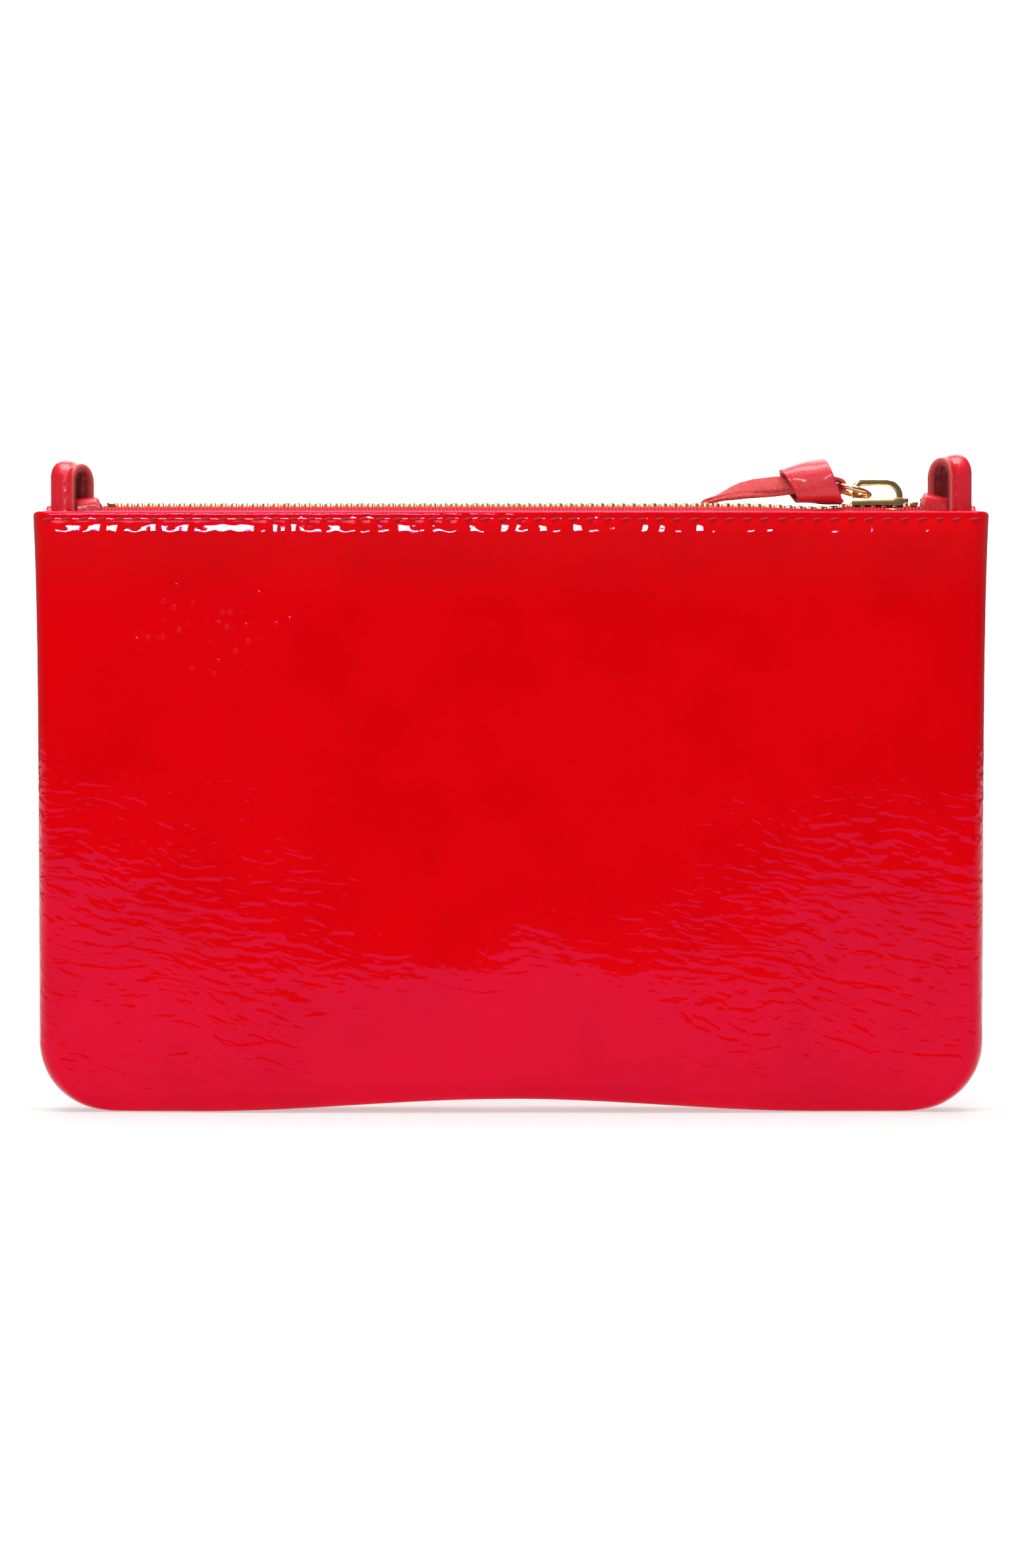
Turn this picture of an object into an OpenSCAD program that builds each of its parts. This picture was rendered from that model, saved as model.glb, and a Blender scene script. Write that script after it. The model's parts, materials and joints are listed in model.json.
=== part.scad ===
// Flat zip-top pouch wallet in patent leather: two leather halves joined by a turned seam,
// a metal zip between their hems, two strap loops and a knotted leather zip pull.
// Millimetres. X runs along the zip, Y from front to back, Z up from the surface it stands on.

/* [Pouch] */
// Width over the top corners
body_w = 228.6; // [200:0.1:250]
// Height from the standing surface to the top of the hem
body_h = 143.2; // [120:0.1:160]
// Half of the thickness at the hem
hem_half = 6.6; // [6.6:0.1:8]
// Extra half thickness at the belly
belly = 0.8; // [0:0.1:4]
// Radius of the two bottom corners
corner_r = 16.5; // [12:0.5:30]
// Lift of the bottom edge between the two places it stands on
bottom_lift = 3; // [0:0.1:4]
// How much wider the top corners are than the waist, on each side
flare = 1.1; // [0:0.1:2]

/* [Leather and cloth] */
// Thickness of one layer of patent leather
leather_t = 1.0; // [0.8:0.1:1]
// Thickness of the lining cloth
lining_t = 0.4; // [0.3:0.05:0.5]
// Depth of the turned hem
hem_depth = 9; // [8:0.5:12]
// Distance from the top of the hem to its row of stitches
stitch_drop = 2; // [1.5:0.1:3]
// Length of one stitch, hole to hole
stitch_pitch = 4.15; // [3:0.05:5]

/* [Zip] */
// Distance between the teeth of one row
tooth_pitch = 2.5; // [2.4:0.05:3]
// Height of the middle of the zip above the hem
zip_rise = 1.1; // [0.9:0.1:1.5]
// Half of the length of each tape, up to the end tabs
zip_half = 97.7; // [90:0.1:97.7]
// Length of the slider's body
slider_l = 13.6; // [12:0.1:14]
// Where the slider's left end stands when the zip is closed
slider_x = 81.3; // [60:0.1:81.3]

/* [Strap loops] */
// Height of a loop above the hem
loop_h = 12.4; // [11:0.1:16]
// Length of a loop along the zip
loop_w = 10; // [8:0.1:10]
// Thickness of the folded loop leather
loop_t = 2.2; // [1.8:0.1:2.2]

/* [Pull] */
// Outside diameter of the ring in the crown
ring_d = 9.5; // [9:0.1:10]
// Wire diameter of the ring
ring_wire = 1.3; // [1:0.1:1.4]
// Width of the pull strap
strap_w = 5; // [4:0.5:5]
// Radius of the thick end of the knot
knot_r = 5.6; // [5:0.1:5.8]

/* [Hidden] */
$fn = 48;

seam_gap = 0.15;                    // from the seam plane to the rim of each half
edge_r = 4;                         // roundness of the side edges
bottom_r = 4.5;                     // roundness of the bottom edge
bottom_flat = 0.75;                 // share of the thickness that is pressed flat at the bottom
stand_x = 76;                       // the bottom edge lies flat outside this
cells_u = 20;                       // columns of a shell's grid
cells_v = 13;                       // and its rows
edge_cells = 4;                     // columns round each side edge
hem_z = body_h - hem_depth;
zip_z = body_h + zip_rise;
stitch_z = body_h - stitch_drop;
glue_gap = 0.1;

patent_red = [0.80, 0.02, 0.03];
soft_red = [0.86, 0.12, 0.16];
cloth = [0.80, 0.72, 0.58];
gold = [0.80, 0.62, 0.30];
thread_red = [0.66, 0.05, 0.12];

// ---------- shape of one half ----------

// 0 at an edge, 1 from r inwards, along a quarter circle
function edge_round(d, r) = d <= 0 ? 0 : d >= r ? 1 : sqrt(1 - pow(1 - d / r, 2));

// Half of the width at height z
function side_x(z) = body_w / 2 - flare * (1 - pow(z / body_h, 6));

// Half of the width inside the bottom corners, o inside the outline
function half_width(z, o) =
    let (r = corner_r - o, up = z - o)
    side_x(z) - o - (up >= r ? 0 : r - sqrt(max(0, r * r - pow(r - up, 2))));

// Lift of the bottom edge at x
function lift(x) = abs(x) >= stand_x ? 0 : bottom_lift * pow(cos(90 * x / stand_x), 2);

// Half of the outside thickness
function swell(x, z) =
    let (s = z / body_h)
    (hem_half - 0.4 * (1 - s) + belly * 1.4 * sin(180 * pow(s, 0.8)))
        * (1 - 0.12 * pow(x / (body_w / 2), 2) * (1 - s * s));

// Height of row k above the outline's lowest line; row 0 is the seam itself
function row_z(k, o, top) = k == 0 ? o : o + (top - o) * pow((k - 1) / (cells_v - 1), 2);

// Distance of column i from the nearer side, when the half width is w and the side's radius is r
function column_in(i, w, r) =
    let (j = min(i, cells_u - i))
    j <= edge_cells ? r * (1 - cos(90 * j / edge_cells))
    : r + (w - r) * 2 * (j - edge_cells) / (cells_u - 2 * edge_cells);

// A point in column i of the surface that lies o inside the outside of the front half, at the height z.
// The seam's row is first, and it is flat.
function shell_point(i, z, first, o) =
    let (
        w = first ? side_x(0) - corner_r - 1.5 : half_width(z, o),
        inward = column_in(i, w, edge_r - o),
        x = (2 * i < cells_u ? -1 : 1) * (w - inward),
        end_lift = first && (i == 0 || i == cells_u) ? 0.1 : 0,
        round_side = edge_round(inward, edge_r - o),
        round_bottom = first ? 0 : bottom_flat + (1 - bottom_flat) * edge_round(z - o, bottom_r - o)
    )
    [
        x,
        -seam_gap - (swell(x, z) - seam_gap - o) * round_side * round_bottom,
        z + end_lift + lift(x) * (1 - z / body_h)
    ];

// The rows of one surface, from the seam up: [height, is it the seam, depth inside the outside]
function surface_rows(o, top, o_hem) =
    concat(
        [for (k = [0 : cells_v]) [row_z(k, o, top), k == 0, o]],
        is_undef(o_hem) ? [] : [[top + 0.4, false, o_hem], [body_h, false, o_hem]]
    );

function surface_points(rows) =
    [for (row = rows, i = [0 : cells_u])
        shell_point(i, row[0], row[1], row[2])];

// A closed shell between two surfaces that have the same rows
module shell(outer_rows, inner_rows) {
    nu = cells_u + 1;
    nv = len(outer_rows);
    last = nu * nv;
    function at(i, k) = k * nu + i;
    around = concat(
        [for (k = [nv - 1 : -1 : 1]) at(0, k)],
        [for (i = [0 : cells_u - 1]) at(i, 0)],
        [for (k = [0 : nv - 2]) at(cells_u, k)],
        [for (i = [cells_u : -1 : 1]) at(i, nv - 1)]
    );
    n = len(around);
    polyhedron(
        points = concat(surface_points(outer_rows), surface_points(inner_rows)),
        faces = concat(
            [for (k = [0 : nv - 2], i = [0 : cells_u - 1]) [at(i, k), at(i, k + 1), at(i + 1, k)]],
            [for (k = [0 : nv - 2], i = [0 : cells_u - 1]) [at(i + 1, k), at(i, k + 1), at(i + 1, k + 1)]],
            [for (k = [0 : nv - 2], i = [0 : cells_u - 1])
                [last + at(i, k), last + at(i + 1, k), last + at(i, k + 1)]],
            [for (k = [0 : nv - 2], i = [0 : cells_u - 1])
                [last + at(i + 1, k), last + at(i + 1, k + 1), last + at(i, k + 1)]],
            [for (j = [0 : n - 1]) [around[j], around[(j + 1) % n], last + around[j]]],
            [for (j = [0 : n - 1]) [around[(j + 1) % n], last + around[(j + 1) % n], last + around[j]]]
        )
    );
}

// One leather half with its edge turned in at the top
module leather_half() {
    color(patent_red)
        shell(surface_rows(0, hem_z, 0), surface_rows(leather_t, hem_z, 2 * leather_t));
}

// One half of the lining bag, which ends under the hem
module lining_half() {
    o = leather_t + glue_gap;
    color(cloth)
        shell(surface_rows(o, hem_z, undef), surface_rows(o + lining_t, hem_z, undef));
}

module other_half() {
    mirror([0, 1, 0]) children();
}

// ---------- stitches ----------

// One stitch that lies in the XZ plane at its middle
module stitch(length, slope, d) {
    rotate([0, -slope, 0]) rotate([0, 90, 0]) {
        cylinder(h = length - d, r = d / 2, center = true, $fn = 16);
        for (end = [-1, 1]) translate([0, 0, end * (length - d) / 2]) sphere(d / 2, $fn = 16);
    }
}

// The row of stitches that holds hem and zip tape together
module hem_thread() {
    thread_d = 0.5;
    count = floor((body_w - 4) / stitch_pitch);
    color(thread_red)
        for (i = [0 : count - 1])
            let (x = (i - (count - 1) / 2) * stitch_pitch)
                translate([x, -swell(x, stitch_z) - thread_d / 2 - 0.05, stitch_z])
                    stitch(stitch_pitch * 0.76, 9, thread_d);
}

// The thread of the turned seam, in the line where the halves meet
module seam_thread() {
    inset = 0.5;
    thread_d = 0.24;
    pitch = 4;
    step = 15;
    r = corner_r - inset;
    w = side_x(0) - corner_r;
    bottom_n = floor(2 * w / pitch);
    side_n = floor((body_h - corner_r - 3) / pitch);
    color(thread_red) {
        for (i = [0 : bottom_n - 1])
            let (x = (i - (bottom_n - 1) / 2) * pitch) translate([x, 0, inset + 0.1 + lift(x)]) stitch(3, 0, thread_d);
        for (side = [-1, 1]) {
            for (i = [0 : side_n - 1])
                let (z = corner_r + 2 + i * pitch)
                    translate([side * (side_x(z) - inset), 0, z]) stitch(3, 90, thread_d);
            for (a = [step / 2 : step : 90])
                translate([side * (w + r * sin(a)), 0, corner_r - r * cos(a)]) stitch(3, side * a, thread_d);
        }
    }
}

// ---------- zip ----------

bead_y = 1.3;                       // from the middle of the zip to the bead of each tape
bead_half = 0.35;
bead_room = 0.1;                    // round a bead, inside a tooth or a stop
tape_t = 0.4;
tape_y = hem_half - 2 * leather_t - 0.25;       // the tape's turned-down part, inside the hem
tooth_half = 1.0;                   // half of a tooth's height
tooth_w = 1.1;
tooth_back = 2.15;                  // from the middle of the zip to the back of a tooth
tooth_reach = 0.55;                 // how far a tooth reaches past the middle
nose_x = slider_x + slider_l;
part_x = nose_x - 10.9;             // the rows part here, inside the slider
part_y = 1.4;                       // how far each row has moved out at the slider's nose
stop_l = 1.8;
tab_in = 98;                        // inner end of the end tabs
tab_out = 111;
tongue_end = tab_out - 3;

// How far a row has parted from the middle at x
function parting(x) = x <= part_x ? 0 : part_y * min(1, (x - part_x) / (nose_x - part_x));

// Front tape: flat from the teeth outwards, then down inside the hem, with a tongue in each end tab.
// A bead runs along its inner edge for the teeth to grip.
module zip_tape() {
    far = -bead_y - part_y;
    color(soft_red)
        union() {
            translate([0, 0, zip_z - tape_t / 2])
                linear_extrude(tape_t)
                    polygon([
                        [-tongue_end, -0.4], [-zip_half, -0.4], [-zip_half + 1, -bead_y], [part_x, -bead_y],
                        [nose_x, far], [zip_half - 0.5, far], [zip_half, -0.4], [tongue_end, -0.4],
                        [tongue_end, -1.15], [zip_half, -1.15], [zip_half, -tape_y - tape_t / 2],
                        [-zip_half, -tape_y - tape_t / 2], [-zip_half, -1.15], [-tongue_end, -1.15]
                    ]);
            translate([-zip_half, -tape_y - tape_t / 2, hem_z - 1])
                cube([2 * zip_half, tape_t, zip_z + tape_t / 2 - hem_z + 1]);
            translate([0, 0, zip_z - bead_half])
                linear_extrude(2 * bead_half)
                    polygon([
                        [-zip_half + 1, -bead_y + bead_half], [part_x, -bead_y + bead_half],
                        [nose_x, far + bead_half], [zip_half - 0.5, far + bead_half],
                        [zip_half - 0.5, far - bead_half], [nose_x, far - bead_half],
                        [part_x, -bead_y - bead_half], [-zip_half + 1, -bead_y - bead_half]
                    ]);
        }
}

// The room that a bead at y and its tape need in a tooth or a stop, open towards -Y down to the depth back
module bead_slot_2d(y, back) {
    half = bead_half + bead_room;
    translate([y - half, -half]) square(2 * half);
    translate([-back, -tape_t / 2 - bead_room]) square([back + y, tape_t + 2 * bead_room]);
}

// One tooth of the front row: jaws round the bead, then a narrower head
module tooth() {
    head = tooth_half * 0.8;
    rotate([90, 0, 90])
        linear_extrude(tooth_w, center = true)
            difference() {
                polygon([
                    [-tooth_back, -head], [-tooth_back + 0.3, -tooth_half],
                    [-0.5, -tooth_half], [0.1, -head], [tooth_reach, -head],
                    [tooth_reach, head], [0.1, head],
                    [-0.5, tooth_half], [-tooth_back + 0.3, tooth_half], [-tooth_back, head]
                ]);
                bead_slot_2d(-bead_y, 3);
            }
}

// A row of teeth that starts at the bottom stop; the other row stands half a pitch further
module teeth(shift) {
    first = -zip_half + 4.2 + shift;
    count = floor((zip_half - stop_l - 1 - first) / tooth_pitch) + 1;
    color(gold)
        for (i = [0 : count - 1])
            let (x = first + i * tooth_pitch)
                translate([x, -parting(x), zip_z]) tooth();
}

stop_half = 1.1;                    // half of a stop's height

// The stop at the closed end of one row, clamped round the bead
module top_stop() {
    y = -bead_y - part_y;
    color(gold)
        translate([zip_half - stop_l - 0.7, 0, zip_z])
            rotate([90, 0, 90])
                linear_extrude(stop_l)
                    difference() {
                        translate([y - 0.9, -stop_half]) square([1.9, 2 * stop_half]);
                        bead_slot_2d(y, 5);
                    }
}

// The stop at the open end, clamped round both beads
module bottom_stop() {
    color(gold)
        translate([-zip_half + 1.3, 0, zip_z])
            rotate([90, 0, 90])
                linear_extrude(2)
                    difference() {
                        square([5, 2 * stop_half], center = true);
                        bead_slot_2d(-bead_y, 3);
                        mirror([1, 0]) bead_slot_2d(-bead_y, 3);
                    }
}

// ---------- ends of the zip ----------

tab_half = 2.15;
tab_t = 0.9;
tab_round_z = body_h + 1.4;
tab_low = 138;

module arch_2d(r, centre_z, low) {
    translate([0, centre_z]) circle(r);
    translate([-r, low]) square([2 * r, centre_z - low]);
}

// Leather folded over the right end of the zip
module end_tab() {
    color(soft_red)
        translate([tab_in, 0, 0])
            rotate([90, 0, 90])
                linear_extrude(tab_out - tab_in)
                    difference() {
                        arch_2d(tab_half, tab_round_z, tab_low);
                        arch_2d(tab_half - tab_t, tab_round_z, tab_low - 1);
                    }
}

loop_half = hem_half - 2 * leather_t - 0.1;     // half of a loop's depth, inside the hems
loop_round_z = body_h + loop_h - loop_half;
loop_low = hem_z + 0.5;
loop_in = 99.5;                     // inner edge of the loops

// Right strap loop: an arch of folded leather that stands over the end tab
module strap_loop() {
    color(soft_red)
        translate([loop_in, 0, 0])
            rotate([90, 0, 90])
                linear_extrude(loop_w)
                    difference() {
                        arch_2d(loop_half, loop_round_z, loop_low);
                        arch_2d(loop_half - loop_t, loop_round_z, loop_low - 1);
                    }
}

// ---------- slider ----------

plate_t = 0.9;
plate_gap = tooth_half + 0.1;       // from the middle of the zip to the inside of a plate
flange_t = 0.65;
flange_gap = 0.45;                  // from the middle of the zip to the flanges
nose_half = 4.1;
tail_half = 2.95;

// Outline of a plate, o inside its edge: a narrow tail at the left and a wide nose at the right
module plate_2d(o) {
    polygon([
        [slider_x, -tail_half + o], [slider_x, tail_half - o], [slider_x + 2.5, tail_half - o],
        [nose_x - 4, nose_half - o], [nose_x - 1.5, nose_half - o], [nose_x, 1.6 - o],
        [nose_x, -1.6 + o], [nose_x - 1.5, -nose_half + o], [nose_x - 4, -nose_half + o],
        [slider_x + 2.5, -tail_half + o]
    ]);
}

// One plate with its two flanges, for the top; the bottom is its mirror image
module plate() {
    translate([0, 0, plate_gap]) linear_extrude(plate_t) plate_2d(0);
    translate([0, 0, flange_gap])
        linear_extrude(plate_gap - flange_gap + 0.01)
            difference() {
                plate_2d(0);
                plate_2d(flange_t);
                translate([nose_x - 1.6, -5]) square([3, 10]);
            }
}

// The wedge between the plates that parts the rows
module wedge() {
    translate([nose_x - 3.4, 0, 0])
        linear_extrude(2 * plate_gap + 0.02, center = true)
            polygon([[-1.4, 0], [0.6, 0.42], [3.4, 0.55], [3.4, -0.55], [0.6, -0.42]]);
}

module slider_body() {
    color(gold)
        translate([0, 0, zip_z])
            union() {
                plate();
                mirror([0, 0, 1]) plate();
                wedge();
            }
}

plate_top = zip_z + plate_gap + plate_t;
crown_h = 4.7;
crown_l = 12;
crown_band = 1.5;
crown_y = 1.8;
crown_x = slider_x + 0.4;

// Points on an arc, from angle a to angle b
function arc(cx, cy, r, a, b) =
    [for (i = [0 : 8]) let (t = a + (b - a) * i / 8) [cx + r * cos(t), cy + r * sin(t)]];

// Side of the crown, o inside its outer line; it leans towards the nose
module crown_2d(o) {
    r_left = 2.2 - o * 0.7;
    r_right = 4.2 - o;
    polygon(concat(
        [[o, 0]],
        arc(o + r_left, crown_h - o - r_left, r_left, 180, 90),
        arc(crown_l - o - r_right, crown_h - o - r_right, r_right, 90, 8),
        [[crown_l - o, 0]]
    ));
}

// The bridge over the slider that the ring hangs in
module slider_crown() {
    color(gold)
        translate([crown_x, crown_y / 2, plate_top])
            rotate([90, 0, 0])
                linear_extrude(crown_y)
                    difference() {
                        crown_2d(0);
                        translate([0, -0.01]) crown_2d(crown_band);
                    }
}

// ---------- pull ----------

ring_r = (ring_d - ring_wire) / 2;
ring_lean = 15;                     // the ring's left side stands higher
ring_tip = 6;                       // and its front side too
ring_at = [crown_x, 0, plate_top + 1.9];
ring_left = ring_at + [-ring_r * cos(ring_lean), 0, ring_r * sin(ring_lean)];

module pull_ring() {
    color(gold)
        translate(ring_at)
            rotate([-ring_tip, ring_lean, 0])
                rotate_extrude() translate([ring_r, 0]) circle(ring_wire / 2, $fn = 24);
}

strap_t = 1.1;
strap_gap = 1.3;                    // half of the room between the two layers
strap_half = strap_gap + strap_t;
strap_end = ring_left[0] - 14.3;    // where the layers have left the knot
turn_x = ring_left[0] + 0.5;        // middle of the turn round the ring
tail_y = hem_half + 2.1;            // the tail hangs this far behind the seam

// Slices of the tail: [along -X from strap_end, y, z from the ring's left side, pitch, turn to the back]
tail = [
    [0.2, 0, 0, 0, 0],
    [4, 1.5, -0.3, 8, 40],
    [7.7, 5.6, -1.5, 35, 65],
    [9, tail_y - 0.1, -6, 80, 85],
    [9.7, tail_y, -26, 90, 90]
];

module tail_slice(t) {
    translate([strap_end - t[0], t[1], ring_left[2] + t[2]])
        rotate([0, -t[3], -t[4]]) cube([0.6, strap_w, 2 * strap_t], center = true);
}

// The strap: doubled round the ring, with its two ends together hanging down behind
module pull_strap() {
    color(soft_red) {
        translate([0, 0, ring_left[2]])
            rotate([90, 0, 0])
                linear_extrude(strap_w, center = true)
                    difference() {
                        union() {
                            translate([turn_x, 0]) circle(strap_half);
                            translate([strap_end, -strap_half]) square([turn_x - strap_end, 2 * strap_half]);
                        }
                        translate([turn_x, 0]) circle(strap_gap);
                        translate([strap_end + 1.2, -strap_gap])
                            square([turn_x - strap_end - 1.2, 2 * strap_gap]);
                    }
        for (i = [0 : len(tail) - 2]) hull() {
            tail_slice(tail[i]);
            tail_slice(tail[i + 1]);
        }
    }
}

knot_l = 15.2;
knot_end_r = 4;
knot_tilt = asin((knot_r - knot_end_r) / knot_l);
knot_z = zip_z + tooth_half + 0.2 + knot_r;     // middle of its thick end

// The turn of strap that binds the two layers. It lies on the zip, and its thick end is hollow for the ring.
module pull_knot() {
    slot_z = strap_half + 0.1;
    slot_y = strap_w / 2 + 0.1;
    color(soft_red)
        difference() {
            translate([ring_left[0] + 1.6, 0, knot_z])
                rotate([0, -90 - knot_tilt, 0]) cylinder(h = knot_l, r1 = knot_r, r2 = knot_end_r);
            translate([strap_end - 3, -slot_y, ring_left[2] - slot_z]) cube([25, 2 * slot_y, 2 * slot_z]);
            translate([ring_left[0] - 1.8, -4.4, ring_left[2] - slot_z]) cube([6, 8.8, 2 * slot_z]);
        }
}

leather_half();  // front_panel
lining_half();  // front_lining
zip_tape();  // front_zip_tape
teeth(0);  // front_teeth
top_stop();  // front_top_stop
hem_thread();  // front_hem_thread
other_half() leather_half();  // back_panel
other_half() lining_half();  // back_lining
other_half() zip_tape();  // back_zip_tape
other_half() teeth(tooth_pitch / 2);  // back_teeth
other_half() top_stop();  // back_top_stop
other_half() hem_thread();  // back_hem_thread
seam_thread();
bottom_stop();
mirror([1, 0, 0]) strap_loop();  // left_strap_loop
strap_loop();  // right_strap_loop
mirror([1, 0, 0]) end_tab();  // left_end_tab
end_tab();  // right_end_tab
slider_body();
slider_crown();
pull_ring();
pull_strap();
pull_knot();
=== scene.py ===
# %% [markdown]
# # A red patent leather pouch
#
# The object is a flat pouch: two halves of patent leather sewn together along the sides and the
# bottom, with a metal zip between the two turned hems at the top. A leather loop stands over each
# end of the zip, and a knotted leather strap pulls the slider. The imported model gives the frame,
# the sizes and the joints. This script makes the looks around it, one piece or finish per step.

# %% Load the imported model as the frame
import json
import math

import bmesh
import bpy
from mathutils import Matrix, Vector, noise
from mathutils.kdtree import KDTree
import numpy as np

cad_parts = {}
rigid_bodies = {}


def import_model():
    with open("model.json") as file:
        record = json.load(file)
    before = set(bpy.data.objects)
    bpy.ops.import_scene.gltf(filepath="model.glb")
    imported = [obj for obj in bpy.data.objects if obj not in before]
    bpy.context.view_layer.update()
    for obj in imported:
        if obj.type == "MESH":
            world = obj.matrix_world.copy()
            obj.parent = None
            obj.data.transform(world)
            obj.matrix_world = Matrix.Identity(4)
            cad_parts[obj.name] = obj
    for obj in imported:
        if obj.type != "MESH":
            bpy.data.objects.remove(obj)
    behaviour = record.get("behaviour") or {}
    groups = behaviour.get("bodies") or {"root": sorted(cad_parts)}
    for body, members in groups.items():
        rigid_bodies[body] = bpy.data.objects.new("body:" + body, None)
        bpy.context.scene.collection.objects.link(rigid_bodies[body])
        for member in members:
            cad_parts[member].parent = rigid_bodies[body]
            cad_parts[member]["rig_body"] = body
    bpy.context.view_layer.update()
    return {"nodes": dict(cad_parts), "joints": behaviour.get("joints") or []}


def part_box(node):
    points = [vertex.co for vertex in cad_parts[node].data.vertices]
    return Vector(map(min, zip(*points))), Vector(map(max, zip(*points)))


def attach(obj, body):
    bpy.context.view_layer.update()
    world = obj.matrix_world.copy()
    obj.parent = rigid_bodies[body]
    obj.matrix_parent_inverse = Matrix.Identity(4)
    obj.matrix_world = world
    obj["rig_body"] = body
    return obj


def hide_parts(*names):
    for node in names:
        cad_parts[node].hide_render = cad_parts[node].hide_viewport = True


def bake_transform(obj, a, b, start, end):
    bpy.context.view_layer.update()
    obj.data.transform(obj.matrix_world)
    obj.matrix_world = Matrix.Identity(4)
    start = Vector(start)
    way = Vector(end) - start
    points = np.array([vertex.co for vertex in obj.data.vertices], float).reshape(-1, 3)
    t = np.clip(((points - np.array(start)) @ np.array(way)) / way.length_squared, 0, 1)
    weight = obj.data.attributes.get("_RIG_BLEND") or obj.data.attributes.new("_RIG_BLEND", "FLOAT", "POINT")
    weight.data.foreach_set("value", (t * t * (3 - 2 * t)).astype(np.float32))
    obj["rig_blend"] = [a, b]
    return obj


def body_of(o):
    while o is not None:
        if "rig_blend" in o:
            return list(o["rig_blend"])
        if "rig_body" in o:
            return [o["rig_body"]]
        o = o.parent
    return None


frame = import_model()
MM = 0.001
scene = bpy.context.scene

# %% [markdown]
# Places and joints come from the frame. The helpers here read a node's box in millimetres, so
# that the rest of the script can think in the units that a bag maker uses. A few sizes have a
# number of their own: the zip's half length, the pitches, and the leather's thickness and fold.

# %% Sizes read from the frame
def low_mm(node):
    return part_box(node)[0] / MM


def high_mm(node):
    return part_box(node)[1] / MM


TOP = high_mm("front_panel").z
HALF_W = high_mm("front_panel").x
STITCH_PROUD = 0.55
HEM_HALF = -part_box("front_hem_thread")[0].y / MM - STITCH_PROUD
FOLD_R = 1.0
LEATHER_THICK = 0.85
HEM_DEPTH = TOP - high_mm("front_lining").z
STITCH_Z = (low_mm("front_hem_thread").z + high_mm("front_hem_thread").z) / 2
STITCH_PITCH = 4.15
STITCH_COUNT = 54
ZIP_Z = (low_mm("slider_body").z + high_mm("slider_body").z) / 2
ZIP_HALF = 97.7
TOOTH_PITCH = 2.5
SLIDER_LEFT = low_mm("slider_body").x
NOSE = high_mm("slider_body").x
JOINTS = {joint["name"]: joint for joint in frame["joints"]}
TRAVEL = JOINTS["slider_travel"]["range_m"][1] / MM
LOOP_MIDDLE = (low_mm("right_strap_loop").x + high_mm("right_strap_loop").x) / 2
print("hem top", round(TOP, 2), "half width", round(HALF_W, 2), "hem half", round(HEM_HALF, 2))
print("zip at", round(ZIP_Z, 2), "slider from", round(SLIDER_LEFT, 2), "to", round(NOSE, 2))

# %% [markdown]
# ## Short ways to build
#
# Most pieces here are bent sheets or long strips, so one helper serves them all. It makes a grid
# with Blender's own operator, and then puts every vertex of column i and row j where a small
# function says. Welding the first column to the last turns the grid into a tube.

# %% Helpers for meshes
def smooth_step(low, high, value):
    """0 below low, 1 above high, and smooth between. low may be the larger of the two."""
    t = min(1, max(0, (value - low) / (high - low)))
    return t * t * (3 - 2 * t)


def bell(value, middle, width):
    return math.exp(-((value - middle) / width) ** 2)


def grid(columns, rows, place):
    """A bmesh grid whose vertex in column i and row j lies at place(i, j), in millimetres."""
    bm = bmesh.new()
    bmesh.ops.create_grid(bm, x_segments=columns, y_segments=rows, size=1.0)
    for v in bm.verts:
        i = round((v.co.x + 1) / 2 * columns)
        j = round((v.co.y + 1) / 2 * rows)
        v.co = Vector(place(i, j)) * MM
    return bm


def weld(bm, distance=0.002):
    bmesh.ops.remove_doubles(bm, verts=bm.verts, dist=distance * MM)


def close(bm):
    """Caps the open ends of a tube and turns its faces outwards."""
    weld(bm)
    bmesh.ops.holes_fill(bm, edges=bm.edges)
    bmesh.ops.recalc_face_normals(bm, faces=bm.faces)


def mirror(bm):
    """Turns a piece of the front into its twin at the back."""
    bmesh.ops.scale(bm, vec=(1, -1, 1), verts=bm.verts)
    bmesh.ops.reverse_faces(bm, faces=bm.faces)


def make(name, bm):
    """Turns a bmesh into a smooth object at the origin."""
    mesh = bpy.data.meshes.new(name)
    bm.to_mesh(mesh)
    bm.free()
    mesh.polygons.foreach_set("use_smooth", [True] * len(mesh.polygons))
    piece = bpy.data.objects.new(name, mesh)
    scene.collection.objects.link(piece)
    return piece


def thicken(piece, thickness):
    """Gives a bent sheet its thickness, inwards from its outer side."""
    solid = piece.modifiers.new("thickness", "SOLIDIFY")
    solid.thickness = thickness * MM
    solid.offset = -1
    solid.use_even_offset = True
    return piece


def mark(piece, name, value_at):
    """Stores value_at(point in millimetres) on every vertex, for a finish to read."""
    values = [value_at(v.co / MM) for v in piece.data.vertices]
    attribute = piece.data.attributes.new(name, "FLOAT", "POINT")
    attribute.data.foreach_set("value", values)


def settle(piece, body, finish, slot, *nodes):
    """Puts a finished piece on its body, in place of its CAD nodes."""
    piece.data.materials.clear()
    piece.data.materials.append(finish)
    if body:
        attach(piece, body)
    if nodes:
        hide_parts(*nodes)
    print(piece.name, len(piece.data.vertices), "vertices,", len(piece.data.polygons), "faces")


# %% [markdown]
# ## The camera
#
# The camera stands level with the lower half of the pouch and far away, so that the sides stay
# parallel. It is made first, because it decides which parts of the work will show.

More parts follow.
